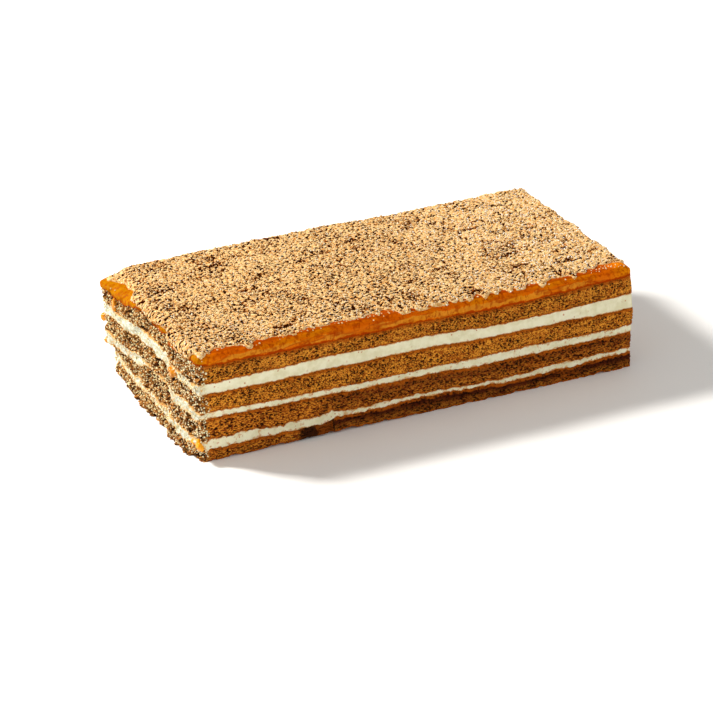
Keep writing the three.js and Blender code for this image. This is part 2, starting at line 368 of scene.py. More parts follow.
class CakeStage(bpy.types.PropertyGroup):
    """Camera and light."""

    azimuth: number("Azimuth", -23.42, "Camera's turn, in degrees")
    elevation: number("Elevation", 23.76, "Camera's height, in degrees")
    roll: number("Roll", -2.16, "Camera's roll, in degrees")
    distance: number("Distance", 1.5241, "Camera's distance from the cake's middle", "LENGTH")
    focal: number("Focal length", 3500, "Focal length, in pixels of the frame")
    right: number("Right", 13.2, "Cake's middle right of the frame's, in pixels")
    up: number("Up", 39.1, "Cake's middle above the frame's, in pixels")
    key: number("Key", 30, "Power of the key light", "POWER")
    fill: number("Fill", 5.2, "Power of the fill light", "POWER")
    sky: number("Sky", 0.45, "Strength of the light from all round")


class CakeSettings(bpy.types.PropertyGroup):
    """All settings of the cake."""

    sizes: PointerProperty(type=CakeSizes)
    colours: PointerProperty(type=CakeColours)
    stage: PointerProperty(type=CakeStage)


def settings():
    """The scene's cake settings."""
    return bpy.context.scene.cake


# Node trees


class Value:
    """A node's output. Python arithmetic on it adds Math nodes to its tree."""

    def __init__(self, tree, socket):
        self.tree = tree
        self.socket = socket

    def other(self, output):
        """Another output of the same node."""
        return Value(self.tree, self.socket.node.outputs[output])

    def math(self, operation, first, second):
        """A Math node on two values or numbers."""
        return self.tree.node("ShaderNodeMath", {"operation": operation}, {0: first, 1: second})

    def __add__(self, second):
        return self.math("ADD", self, second)

    def __sub__(self, second):
        return self.math("SUBTRACT", self, second)

    def __rsub__(self, first):
        return self.math("SUBTRACT", first, self)

    def __mul__(self, second):
        return self.math("MULTIPLY", self, second)

    def __rtruediv__(self, first):
        return self.math("DIVIDE", first, self)

    def above(self, second):
        """1 where this is over the second value, else 0."""
        return self.math("GREATER_THAN", self, second)

    def most(self, second):
        """The larger of two values."""
        return self.math("MAXIMUM", self, second)

    def ease(self, start, end):
        """0 at the start and 1 at the end, with a smooth way between."""
        ends = {"Value": self, "From Min": start, "From Max": end}
        return self.tree.node("ShaderNodeMapRange", {"interpolation_type": "SMOOTHSTEP"}, ends)

    __radd__ = __add__
    __rmul__ = __mul__


def opaque(value):
    """A colour for a socket: a link stays as it is, and three numbers get an alpha of 1."""
    return value if isinstance(value, Value) else (*value, 1)


class Tree:
    """Adds nodes to a shader or geometry tree."""

    def __init__(self, tree):
        self.tree = tree

    def node(self, kind, options=(), inputs=(), output=0):
        """A new node with its options set first, then its sockets' values or links."""
        made = self.tree.nodes.new(kind)
        for name, value in dict(options).items():
            setattr(made, name, value)
        for key, value in dict(inputs).items():
            if isinstance(value, Value):
                self.tree.links.new(value.socket, made.inputs[key])
            else:
                made.inputs[key].default_value = value
        return Value(self, made.outputs[output])

    def vectors(self, operation, first, second, output=0):
        """A Vector Math node on two vectors."""
        return self.node("ShaderNodeVectorMath", {"operation": operation}, {0: first, 1: second}, output)

    def scaled(self, vector, factors):
        """A vector times a vector, part by part."""
        return self.vectors("MULTIPLY", vector, factors)

    def times(self, vector, factor):
        """A vector times a number."""
        return self.node("ShaderNodeVectorMath", {"operation": "SCALE"}, {0: vector, "Scale": factor})

    def split(self, vector):
        """A vector's X. Its Y and Z are other outputs of the same node."""
        return self.node("ShaderNodeSeparateXYZ", {}, {0: vector})

    def noise(self, vector, per_mm, detail=2.0):
        """Soft noise round 0.5, on a vector in millimetres."""
        return self.node("ShaderNodeTexNoise", {}, {"Vector": vector, "Scale": per_mm, "Detail": detail})

    def waves(self, vector, per_mm, detail=2.0):
        """Soft noise round 0, on a vector in millimetres."""
        return self.noise(vector, per_mm, detail) - 0.5

    def streaks(self, vector, per_mm, detail=2.0):
        """Soft noise round 0.5 that is drawn out: its scale is given along each axis."""
        return self.noise(self.scaled(vector, per_mm), 1.0, detail)

    def cells(self, vector, per_mm, feature="F1"):
        """Distance from the nearest of many scattered points, on a vector in millimetres."""
        return self.node("ShaderNodeTexVoronoi", {"feature": feature}, {"Vector": vector, "Scale": per_mm})

    def chance(self, cells):
        """A random number from 0 to 1 for each cell."""
        return self.split(cells.other("Color"))

    def bent(self, vector, per_mm, reach):
        """A vector in millimetres, bent by soft noise that reaches that far."""
        ways = self.vectors("SUBTRACT", self.noise(vector, per_mm).other("Color"), (0.5, 0.5, 0.5))
        return self.vectors("ADD", vector, self.times(ways, reach))

    def mix(self, share, first, second):
        """One colour turning into another."""
        inputs = {0: share, 6: opaque(first), 7: opaque(second)}
        return self.node("ShaderNodeMix", {"data_type": "RGBA"}, inputs, 2)


class Shape(Tree):
    """A Geometry Nodes tree with named inputs, the last of them a material."""

    def __init__(self, name, numbers=(), whole=()):
        super().__init__(bpy.data.node_groups.new(name, "GeometryNodeTree"))
        self.keys = {}
        self.add_input("Geometry", "NodeSocketGeometry")
        for title in numbers:
            self.add_input(title, "NodeSocketFloat")
        for title in whole:
            self.add_input(title, "NodeSocketInt")
        self.add_input("Material", "NodeSocketMaterial")
        self.tree.interface.new_socket("Geometry", in_out="OUTPUT", socket_type="NodeSocketGeometry")
        self.start = self.node("NodeGroupInput")
        self.end = self.tree.nodes.new("NodeGroupOutput")

    def add_input(self, title, kind):
        """Adds a named input."""
        socket = self.tree.interface.new_socket(title, in_out="INPUT", socket_type=kind)
        self.keys[title] = socket.identifier

    def given(self, title):
        """The value of a named input."""
        return self.start.other(title)

    def attribute(self, name, kind="FLOAT"):
        """A named value that is stored on the mesh."""
        return self.node("GeometryNodeInputNamedAttribute", {"data_type": kind}, {"Name": name})

    def place(self):
        """The place of each point, in millimetres."""
        return self.times(self.node("GeometryNodeInputPosition"), 1 / MM)

    def stored(self, geometry, name, value, domain="POINT", kind="FLOAT"):
        """The geometry with a value stored under a name."""
        inputs = {"Geometry": geometry, "Name": name, "Value": value}
        return self.node("GeometryNodeStoreNamedAttribute", {"data_type": kind, "domain": domain}, inputs)

    def shifted(self, geometry, offset):
        """The geometry with its points moved."""
        return self.node("GeometryNodeSetPosition", {}, {"Geometry": geometry, "Offset": offset})

    def raised(self, geometry, height):
        """The geometry with each point moved out of its surface by a height in millimetres."""
        return self.shifted(geometry, self.times(self.attribute("outward", "FLOAT_VECTOR"), height * MM))

    def random(self, kind, first, low, high, seed):
        """A random value for each point. First is the number of the kind's lowest socket."""
        inputs = {first: low, first + 1: high, "Seed": seed}
        return self.node("FunctionNodeRandomValue", {"data_type": kind}, inputs, first // 2)

    def finish(self, geometry):
        """Ends the tree: everything becomes real mesh with the given material."""
        real = self.node("GeometryNodeRealizeInstances", {}, {"Geometry": geometry})
        inputs = {"Geometry": real, "Material": self.given("Material")}
        self.tree.links.new(self.node("GeometryNodeSetMaterial", {}, inputs).socket, self.end.inputs[0])
        return self

    def applied(self, piece, **values):
        """Runs the tree on a piece with the given inputs and leaves a plain mesh."""
        modifier = piece.modifiers.new(self.tree.name, "NODES")
        modifier.node_group = self.tree
        for title, value in values.items():
            modifier[self.keys[title.replace("_", " ")]] = value
        depsgraph = bpy.context.evaluated_depsgraph_get()
        made = bpy.data.meshes.new_from_object(
            piece.evaluated_get(depsgraph), preserve_all_data_layers=True, depsgraph=depsgraph
        )
        piece.modifiers.clear()
        made.materials.clear()
        made.materials.append(values["Material"])
        piece.data = made
        made.name = piece.name
        return piece


class Finish(Tree):
    """A material on a Principled shader."""

    def __init__(self, name, **constants):
        self.material = bpy.data.materials.new(name)
        self.material.use_nodes = True
        super().__init__(self.material.node_tree)
        self.shader = self.tree.nodes["Principled BSDF"]
        for title, value in constants.items():
            self.shader.inputs[title.replace("_", " ")].default_value = value

    def place(self):
        """The place on the piece, in millimetres."""
        return self.times(self.node("ShaderNodeTexCoord", {}, {}, "Object"), 1 / MM)

    def attribute(self, name, output="Fac"):
        """A named value that is stored on the mesh."""
        return self.node("ShaderNodeAttribute", {"attribute_name": name}, {}, output)

    def set(self, title, value):
        """Links a value to the shader."""
        self.tree.links.new(value.socket, self.shader.inputs[title])

    def bump(self, height, depth):
        """Fine relief with a depth in millimetres."""
        self.set("Normal", self.node("ShaderNodeBump", {}, {"Height": height, "Distance": depth * MM}))


def shade(tone, *factors):
    """A colour with its parts multiplied, by one factor or by three."""
    each = factors if len(factors) == len(tone) else factors * len(tone)
    return [min(1, part * factor) for part, factor in zip(tone, each)]


# Reading the CAD layers


def lookup(mesh):
    """A mesh, ready to be hit by rays."""
    corners = [vertex.co for vertex in mesh.vertices]
    return BVHTree.FromPolygons(corners, [polygon.vertices for polygon in mesh.polygons])


def hit(surface, start, way):
    """Where a ray meets a surface, or None."""
    return surface.ray_cast(Vector(start), Vector(way))[0]


def uneven(rng, count, span, run):
    """Smooth random values along a closed span, with bumps of about that run, mostly from -1 to 1."""
    waves = np.fft.rfftfreq(count, span / count)
    spectrum = np.fft.rfft(rng.standard_normal(count)) * np.exp(-3 * (waves * run) ** 2)
    values = np.fft.irfft(spectrum, count)
    return 0.5 * (values - values.mean()) / values.std()


def smooth_step(values):
    """0 up to 0 and 1 from 1 on, with a smooth way between."""
    share = np.clip(values, 0, 1)
    return share * share * (3 - 2 * share)


def hump(values, reach):
    """1 at 0, fading to 0 within about twice the reach."""
    return np.exp(-((values / reach) ** 2))


def filled(values):
    """A row of values with its gaps filled from what is beside them."""
    known = np.flatnonzero(~np.isnan(values))
    return np.interp(np.arange(len(values)), known, values[known])


class Ring:
    """The slab's outline from above: columns with a place, an outward direction and a distance along it."""

    def __init__(self, *steps):
        """Steps are the distances between columns on the front, right, back and torn sides."""
        self.half = np.array([SLAB_LENGTH / 2, SLAB_WIDTH / 2])
        self.middle = np.array([SLAB_X, 0])
        radius = settings().sizes.corner * MM
        places, outward = [], []
        for quarter, step in enumerate(steps):
            angle = math.radians(90 * quarter - 90)
            out = np.array([round(math.cos(angle)), round(math.sin(angle))])
            along = np.array([-out[1], out[0]])
            reach = abs(out @ self.half)
            run = abs(along @ self.half) - radius
            count = round(2 * run / step)
            for share in np.arange(count) / count:
                places.append(out * reach + along * run * (2 * share - 1))
                outward.append(out)
            turns = max(3, round(radius * math.pi / 2 / step))
            for turn in np.arange(turns) / turns * math.pi / 2:
                way = out * math.cos(turn) + along * math.sin(turn)
                places.append(out * (reach - radius) + along * run + way * radius)
                outward.append(way)
        self.places = np.array(places) + self.middle
        self.outward = np.array(outward)
        gaps = np.linalg.norm(np.roll(self.places, -1, axis=0) - self.places, axis=1)
        self.along = np.concatenate([[0], np.cumsum(gaps)[:-1]])
        self.total = gaps.sum()
        self.count = len(self.places)

    def inside(self, inset):
        """The columns' places, moved a way into the outline."""
        return np.clip(self.places, self.middle - self.half + inset, self.middle + self.half - inset)

    def spots(self):
        """The columns' places from the slab's middle, in millimetres."""
        return (self.places - self.middle).T / MM

    def front(self):
        """1 on the front cut, fading to 0 round its corners."""
        return np.clip(-self.outward[:, 1], 0, 1)

    def faces_left(self):
        """True for the columns of the torn end without its corners."""
        return self.outward[:, 0] < -FACING

    def torn(self):
        """1 on the torn left end, fading to 0 a little way round its corners."""
        return np.maximum(smooth_step(-self.outward[:, 0] * TORN_ONSET), self.wrap())

    def wrap(self):
        """1 at the torn end's corners, fading to 0 along the front cut and the back."""
        from_end = self.spots()[0] + SLAB_LENGTH / 2 / MM
        return smooth_step(1 - from_end / WRAP) * np.abs(self.outward[:, 1])

    def read(self, values, coarse):
        """Values of a coarser ring, at this ring's columns."""
        return np.interp(self.along, coarse.along, values, period=coarse.total)

    def uneven(self, rng, run):
        """Smooth random values round the outline, with bumps of about that run in millimetres."""
        return uneven(rng, self.count, self.total, run * MM)


class Layers:
    """The boundaries between the layers and the layers' walls, read from the CAD model."""

    def __init__(self):
        sizes = settings().sizes
        coarse = Ring(*[PROBE_STEP] * 4)
        rear = sizes.rear_step * MM
        self.ring = Ring(sizes.front_step * MM, rear, rear, sizes.torn_step * MM)
        self.stand = {}
        bottoms, tops = [], []
        for node in STACK:
            bottom, top, stand = self.probe(node, coarse)
            bottoms.append(self.ring.read(bottom, coarse))
            tops.append(self.ring.read(top, coarse))
            self.stand[node] = np.array([self.ring.read(row, coarse) for row in stand])
        middles = [(top + bottom) / 2 for top, bottom in zip(tops[:-1], bottoms[1:])]
        self.levels = [bottoms[0], *middles, tops[-1]]
        self.roughen(np.random.default_rng(sizes.seed))

    @staticmethod
    def probe(node, ring):
        """A layer's lower and upper height, and how far its wall stands from the outline at each rise."""
        surface = lookup(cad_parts[node].data)
        bottom, top, stand = [], [], []
        for place, inner, out in zip(ring.places, ring.inside(PROBE_INSET), ring.outward):
            low = hit(surface, (*inner, -FAR), (0, 0, 1)).z
            high = hit(surface, (*inner, FAR), (0, 0, -1)).z
            bottom.append(low)
            top.append(high)
            starts = [(*(place + out * FAR), low + (high - low) * rise) for rise in PROBE_RISES]
            found = [hit(surface, start, (*-out, 0)) for start in starts]
            stand.append([np.nan if spot is None else (np.array(spot.xy) - place) @ out for spot in found])
        return np.array(bottom), np.array(top), [filled(row) for row in np.array(stand).T]

    def wave(self, rng, length, height, torn_height):
        """Random waves of a boundary: their length and height, and how much higher on the torn end."""
        return self.ring.uneven(rng, length) * (height + torn_height * self.ring.torn())

    def roughen(self, rng):
        """Makes the boundaries ragged, and rounds the ends of the torn sponges."""
        ring = self.ring
        torn = ring.torn()
        x, y = ring.spots()
        ends = hump(y - CREASE_Y, CREASE_REACH) + np.clip((y - REAR_Y) / REAR_REACH, 0, 1)
        for index in range(1, len(STACK)):
            if STACK[index] in TORN_SHIFT:
                self.levels[index] += torn * np.interp(y, TORN_Y, TORN_SHIFT[STACK[index]]) * MM
            factor, middling_factor = LUMPY if index in LUMPY_BOUNDARIES else CALM
            coarse = self.wave(rng, *COARSE_WAVE) * factor
            middling = self.wave(rng, *MIDDLING_WAVE) * middling_factor
            fine = self.wave(rng, *FINE_WAVE) * factor
            self.levels[index] += (coarse + middling + fine) * MM
            if index < len(STACK) - 1:
                thinner = 1 if STACK[index - 1] in SPONGES else -1
                self.levels[index] -= thinner * torn * MM * (ROUNDED_END * ends - SWELL)
        cut = ring.front() * MM
        seam = SEAMS["sponge_1"][0]
        self.levels[1] += cut * (SEAM_STEP / (1 + np.exp((seam - x) / SEAM_GAP)) - SEAM_STEP / 2)
        self.levels[2] += cut * PEAK_HEIGHT * hump(x - seam, PEAK_REACH)
        self.levels[0] += cut * ARCH_HEIGHT * hump(x - seam, ARCH_REACH)
        self.levels[0] += cut * RAGGED_HEIGHT * np.clip(ring.uneven(rng, RAGGED_RUN), 0, 1)

    def span(self, node):
        """The heights of a layer's lower and upper boundary."""
        index = STACK.index(node)
        return self.levels[index : index + 2]

    def stood(self, node, rise):
        """How far a layer's wall stands from the outline at a rise from 0 to 1."""
        rows = self.stand[node]
        spot = np.interp(rise, PROBE_RISES, np.arange(len(PROBE_RISES)))
        first = min(int(spot), len(PROBE_RISES) - 2)
        return rows[first] + (rows[first + 1] - rows[first]) * (spot - first)


@functools.cache
def layers():
    """The layers, read once."""
    return Layers()


def droop(x, y):
    """How far the jelly's top has sunk at a place from the slab's middle, in metres."""
    across = smooth_step((x / MM - DROOP_X[0]) / (DROOP_X[1] - DROOP_X[0]))
    return DROOP * MM * across * smooth_step((y / MM - DROOP_Y[0]) / (DROOP_Y[1] - DROOP_Y[0]))


def stain(node, x):
    """1 at a joint of the sponge, fading to 0 as far to its left as caramel has soaked in."""
    if node not in SEAMS:
        return np.zeros(len(x))
    place, reach, dark = SEAMS[node]
    return dark * hump(x - place, np.where(x < place, reach, SEAM_GAP))


# Building meshes


def linked(name, data):
    """A new object in the scene."""
    made = bpy.data.objects.new(name, data)
    bpy.context.scene.collection.objects.link(made)
    return made


def mesh_piece(name, points, faces, values):
    """A new object from points, faces and named values of the points."""
    mesh = bpy.data.meshes.new(name)
    mesh.from_pydata(points.tolist(), [], faces)
    for title, data in values.items():
        vector = data.ndim == 2
        stored = mesh.attributes.new(title, "FLOAT_VECTOR" if vector else "FLOAT", "POINT")
        stored.data.foreach_set("vector" if vector else "value", data.astype(np.float32).ravel())
    return linked(name, mesh)


def welded(piece):
    """Joins points that lie on each other and smooths the shading."""
    work = bmesh.new()
    work.from_mesh(piece.data)
    bmesh.ops.remove_doubles(work, verts=work.verts, dist=WELD)
    bmesh.ops.dissolve_degenerate(work, edges=work.edges, dist=SLIVER)
    for face in work.faces:
        face.smooth = True
    work.to_mesh(piece.data)
    work.free()
    return piece


def joined_copy(name, sources):
    """A new object with the meshes of several."""
    work = bmesh.new()
    for source in sources:
        work.from_mesh(source.data)
    mesh = bpy.data.meshes.new(name)
    work.to_mesh(mesh)
    work.free()
    return linked(name, mesh)


def dressed(piece, slot, *nodes):
    """Lets a piece ride on the cake and stand for CAD nodes. Its slot is not used."""
    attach(piece, BODY)
    if nodes:
        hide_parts(*nodes)


def square_profile(rows):
    """Rows of a layer that ends square: both faces run a little way in, where they don't show."""
    wall = [(rise, 0.0, 0.0) for rise in np.linspace(0, 1, rows + 1)]
    lower = [(0.0, CAP_INSET, 0.0), (0.0, LIP, 0.0)]
    upper = [(1.0, LIP, 0.0), (1.0, CAP_INSET, 0.0)]
    return [*lower, *wall, *upper]


def round_profile(rows, thickness, radius):
    """Rows of the jelly: its upper edge is rounded and its top shows a little way in."""
    start = 1 - radius / thickness
    wall = [(rise, 0.0, 0.0) for rise in np.linspace(0, start, rows + 1)]
    bend = []
    for turn in np.linspace(0, math.pi / 2, BEND_ROWS + 1)[1:]:
        bend.append((start + math.sin(turn) * (1 - start), radius * (1 - math.cos(turn)), turn))
    top = [(1.0, radius + inset * MM, math.pi / 2) for inset in TOP_ROWS]
    return [(0.0, CAP_INSET, 0.0), *wall, *bend, *top, (1.0, CAP_INSET, 0.0)]


def layer_piece(node, profile, crumbs, strays=0.0):
    """A closed layer. Each row of the profile has its rise, its distance from the side and its tilt.

    Crumbs and strays say how many loose crumbs stick to the torn end and to the front's upper edge.
    """
    ring = layers().ring
    low, high = layers().span(node)
    front, torn, wrap = ring.front(), ring.torn(), ring.wrap()
    values = {title: [] for title in ("outward", "torn", "wrap", "edge", "rise", "stain", "crumbs")}
    points = []
    for rise, inset, tilt in profile:
        stand = layers().stood(node, rise) * max(0, 1 - inset / PROBE_INSET)
        height = low + (high - low) * rise
        place = ring.inside(inset) + ring.outward * stand[:, None]
        if node == JELLY:
            height = height - rise * droop(place[:, 0] - SLAB_X, place[:, 1])
        points.append(np.column_stack([place, height]))
        up = np.full(ring.count, math.sin(tilt))
        outward = np.column_stack([ring.outward * math.cos(tilt), up])
        values["outward"].append(outward * (inset < PROBE_INSET))
        values["torn"].append(torn)
        values["wrap"].append(wrap)
        values["edge"].append(np.minimum(height - low, high - height) / MM)
        values["rise"].append(np.full(ring.count, rise))
        values["stain"].append(front * stain(node, ring.spots()[0]))
        strewn = strays * math.sin(tilt) ** 4 * (inset < STRAY_REACH) * (inset / STRAY_REACH)
        stuck = np.maximum(torn * crumbs, wrap) + front * strewn
        shows = inset == 0 or tilt > 0
        values["crumbs"].append(stuck * (height > CRUMB_FLOOR) * shows)
    faces = layer_faces(len(points), ring.count)
    joined = {title: np.concatenate(rows) for title, rows in values.items()}
    return welded(mesh_piece(node + "_cut", np.concatenate(points), faces, joined))


def layer_faces(rows, count):
    """Faces of a closed layer: one below, one above, and a strip between each two rows."""
    faces = [tuple(range(count - 1, -1, -1)), tuple(range((rows - 1) * count, rows * count))]
    for row in range(rows - 1):
        for column in range(count):
            beside = (column + 1) % count
            below = row * count
            above = below + count
            faces.append((below + column, below + beside, above + beside, above + column))
    return faces


def spread(table, across, along):
    """A table of values read between its places. Across and along run from 0 to 1 over it."""
    rows = np.clip(across, 0, 1) * (table.shape[0] - 1)
    columns = np.clip(along, 0, 1) * (table.shape[1] - 1)
    row = np.minimum(rows.astype(int), table.shape[0] - 2)
    column = np.minimum(columns.astype(int), table.shape[1] - 2)
    part, share = rows - row, columns - column
    near = table[row, column] * (1 - share) + table[row, column + 1] * share
    far = table[row + 1, column] * (1 - share) + table[row + 1, column + 1] * share
    return near * (1 - part) + far * part


def border_waves(rng, places, half, waves):
    """Random waves along one border of the bed, in metres, each with its length and height."""
    made = []
    for length, height in waves:
        values = uneven(rng, places.size, 2 * half, length * MM)
        made.append(height * (values * MM).reshape(places.shape))
    return made


def bed_grid(u, v):
    """The bed's points as X and Y from the slab's middle, and their distances from any border and the front.

    U runs from the right border to the left one, and V from the front to the back. X runs on past the slab's
    left edge, where the bed hangs down. Distances from the borders are in millimetres.
    """
    sizes = settings().sizes
    rng = np.random.default_rng(sizes.seed + 1)
    half_x, half_y = layers().ring.half
    hang = np.interp((2 * v - 1) * half_y / MM, HANG_Y, HANG) * MM
    coarse, fine = border_waves(rng, v, half_y, RIGHT_WAVES)
    right = coarse + fine
    coarse, fine = border_waves(rng, v, half_y, LEFT_WAVES)
    left = 2 * half_x - BED_LEFT + hang + coarse + fine
    run = right + (left - right) * u
    x = half_x - run
    barer, start, reach = BARE_RIGHT
    bare = barer * smooth_step((x - start) / reach)
    fuller, start, reach = BARE_LEFT
    bare = bare - fuller * smooth_step((-start - x) / reach)
    coarse, fine = border_waves(rng, u, half_x, FRONT_WAVES)
    front = sizes.front_setback * MM + bare + coarse + fine
    coarse, fine = border_waves(rng, u, half_x, BACK_WAVES)
    back = BED_BACK + coarse + fine
    y = -half_y + front + v * (2 * half_y - front - back)
    sides = np.minimum(np.minimum(run - right, left - run), half_y - back - y) / MM
    ahead = (y + half_y - front) / MM
    return x, y, np.minimum(sides, ahead), ahead


def bed_surface(x, y):
    """Where the bed's points lie on the jelly, bent over its left edge, and which way is out of it there."""
    ring = layers().ring
    half_x, half_y = ring.half
    bend = settings().sizes.jelly_round * MM
    jelly = lookup(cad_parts[JELLY].data)
    spots_x = np.linspace(half_x - PROBE_INSET, PROBE_INSET - half_x, BED_PROBES[0])
    spots_y = np.linspace(PROBE_INSET - half_y, half_y - PROBE_INSET, BED_PROBES[1])
    heights = []
    for spot_x in spots_x:
        heights.append([hit(jelly, (SLAB_X + spot_x, spot_y, FAR), (0, 0, -1)).z for spot_y in spots_y])
    across = (spots_x[0] - x) / (spots_x[0] - spots_x[-1])
    along = (y - spots_y[0]) / (2 * spots_y[-1])
    top = spread(np.array(heights), across, along) - droop(x, y)
    end = np.flatnonzero(ring.faces_left())[::-1]
    wall = -half_x - np.interp(y, ring.places[end, 1], layers().stood(JELLY, BED_WALL_RISE)[end])
    turn = np.clip((wall + bend - x) / bend, 0, math.pi / 2)
    fallen = np.maximum(0, wall + bend - x - bend * math.pi / 2)
    bent_x = np.where(turn > 0, wall + bend - bend * np.sin(turn), x)
    place = np.stack([SLAB_X + bent_x, y, top - bend * (1 - np.cos(turn)) - fallen], axis=-1)
    outward = np.stack([-np.sin(turn), np.zeros_like(turn), np.cos(turn)], axis=-1)
    return place, outward


def bed_piece():
    """The crumb bed: a closed sheet on the jelly that bends over its left edge and hangs down there."""
    sizes = settings().sizes
    cells_x, cells_y = (round(2 * half / (sizes.bed_step * MM * BED_CELL)) for half in layers().ring.half)
    u = np.linspace(0, 1, cells_x * BED_CELL + 1)[:, None]
    v = np.linspace(0, 1, cells_y * BED_CELL + 1)[None, :]
    x, y, border, ahead = bed_grid(u, v)
    place, outward = bed_surface(x, y)
    thick = sizes.bed * MM * (BED_FRONT + (1 - BED_FRONT) * smooth_step(ahead / BED_FRONT_RUN))
    lift = (BED_SINK + thick) * smooth_step(border / BED_TAPER) - BED_SINK
    upper = place + outward * lift[..., None]
    lower = (place - outward * BED_ROOT)[::BED_CELL, ::BED_CELL]
    sheet = np.stack([x, y, np.zeros_like(x)], axis=-1) / MM
    zeros = np.zeros(lower.shape[0] * lower.shape[1])
    values = {
        "outward": np.concatenate([outward.reshape(-1, 3), np.zeros((len(zeros), 3))]),
        "border": np.concatenate([border.ravel(), zeros]),
        "crumbs": np.concatenate([smooth_step(border / BED_CRUMBS_FROM).ravel(), zeros]),
        "sheet": np.concatenate([sheet.reshape(-1, 3), np.zeros((len(zeros), 3))]),
    }
    points = np.concatenate([upper.reshape(-1, 3), lower.reshape(-1, 3)])
    return welded(mesh_piece("crumb_bed", points, bed_faces(u.size, v.size), values))


def bed_faces(long, wide):
    """Faces of a closed sheet: a fine upper grid, a coarse lower one, and four sides between them."""

    def up(row, column):
        return row * wide + column

    def down(row, column):
        return long * wide + (row // BED_CELL) * ((wide - 1) // BED_CELL + 1) + column // BED_CELL

    faces = []
    for row in range(long - 1):
        for column in range(wide - 1):
            near = (up(row, column), up(row, column + 1))
            faces.append((*near, up(row + 1, column + 1), up(row + 1, column)))
    last_row, last_column = long - 1, wide - 1
    for row in range(0, last_row, BED_CELL):
        further = row + BED_CELL
        for column in range(0, last_column, BED_CELL):
            beside = column + BED_CELL
            near = (down(row, column), down(further, column))
            faces.append((*near, down(further, beside), down(row, beside)))
        steps = range(row, further + 1)
        first_edge = [up(step, 0) for step in steps]
        last_edge = [up(step, last_column) for step in reversed(steps)]
        faces.append((*first_edge, down(further, 0), down(row, 0)))
        faces.append((*last_edge, down(row, last_column), down(further, last_column)))
    for column in range(0, last_column, BED_CELL):
        beside = column + BED_CELL
        steps = range(column, beside + 1)
        first_edge = [up(0, step) for step in reversed(steps)]
        last_edge = [up(last_row, step) for step in steps]
        faces.append((*first_edge, down(0, column), down(0, beside)))
        faces.append((*last_edge, down(last_row, beside), down(last_row, column)))
    return faces


def drops_mesh():
    """All drops of caramel: dented balls, each with its own share of yellow."""
    ring = layers().ring
    y = ring.spots()[1]
    coarse, fine = (run * MM for run in DENT_RUNS)
    work = bmesh.new()
    light = work.verts.layers.float.new("shade")
    for drop in DROPS:
        column = np.argmin(np.where(ring.faces_left(), np.abs(y - drop.along), np.inf))
        low, high = (level[column] for level in layers().span(drop.layer))
        face = -SLAB_LENGTH / 2 - layers().stood(drop.layer, 0.5)[column]
        spot = Vector((SLAB_X + face, drop.along * MM, low + (high - low) * drop.rise))
        form = Matrix.Translation(spot) @ Matrix.Diagonal((*[part * MM for part in drop.reach], 1))
        made = bmesh.ops.create_icosphere(work, subdivisions=4, radius=1, matrix=form)
        for vertex in made["verts"]:
            vertex[light] = drop.yellow
            dent = noise.noise(vertex.co / coarse) + 0.5 * noise.noise(vertex.co / fine)
            vertex.co += (vertex.co - spot) * (DENT_SHARE * dent)
    for face in work.faces:
        face.smooth = True
    mesh = bpy.data.meshes.new("caramel_drops")
    work.to_mesh(mesh)
    work.free()
    return mesh


# Relief


def pores(tree, rest, per_mm):
    """How deep the sponge's pores are, from 0 to 1: a few wide ones and many narrow ones, in crowds."""
    bent = tree.bent(rest, 0.9, 0.9)
    crowd = tree.noise(rest, 0.13).ease(0.35, 0.65)
    big = tree.cells(bent, per_mm)
    small = tree.cells(bent, per_mm * 1.7)
    wide = big.ease(0.42, 0.3) * (crowd * 0.6 + 0.12 - tree.chance(big)).ease(0.0, 0.08)
    narrow = small.ease(0.48, 0.36) * (crowd * 0.45 + 0.38 - tree.chance(small)).ease(0.0, 0.08)
    return wide.most(narrow)


def sponge_relief():
    """Pores and crumb on a cut, and crags on the torn end."""
    shape = Shape("Sponge relief", ("Pore", "Pore Depth", "Flat", "Crag", "Shift"))
    shift = shape.node("ShaderNodeCombineXYZ", {}, {2: shape.given("Shift")})
    place = shape.vectors("ADD", shape.place(), shift)
    flat = shape.given("Flat")
    rest = shape.scaled(place, shape.node("ShaderNodeCombineXYZ", {}, {0: flat, 1: flat, 2: 1.0}))
    torn = shape.attribute("torn")
    pit = pores(shape, rest, 1 / shape.given("Pore"))
    lump = shape.waves(rest, 0.5, 3.0)
    crag = shape.waves(place, 0.16) * 2.4
    clump = shape.cells(shape.bent(place, 0.4, 1.5), 0.42, "SMOOTH_F1").ease(0.75, 0.1)
    grit = shape.cells(shape.bent(place, 1.0, 0.6), 0.9).ease(0.75, 0.1)
    rough = torn * shape.given("Crag") * (crag + clump + grit * 0.6 - 0.7)
    gap = (clump * 0.55 + grit * 0.6).ease(0.66, 0.32) * torn
    near = shape.attribute("edge").ease(-0.1, 0.7) * 0.75 + 0.25
    seam = shape.attribute("stain").ease(0.9, 1.0) * -0.5
    height = (lump * 0.6 - pit.most(gap) * shape.given("Pore Depth")) * near + rough + seam
    kept = shape.stored(shape.given("Geometry"), "rest", rest, "POINT", "FLOAT_VECTOR")
    moved = shape.raised(kept, height)
    moved = shape.stored(moved, "crumbs", shape.attribute("crumbs") * (1 - gap * 0.9))
    return shape.finish(shape.stored(shape.stored(moved, "gap", gap), "lump", lump))


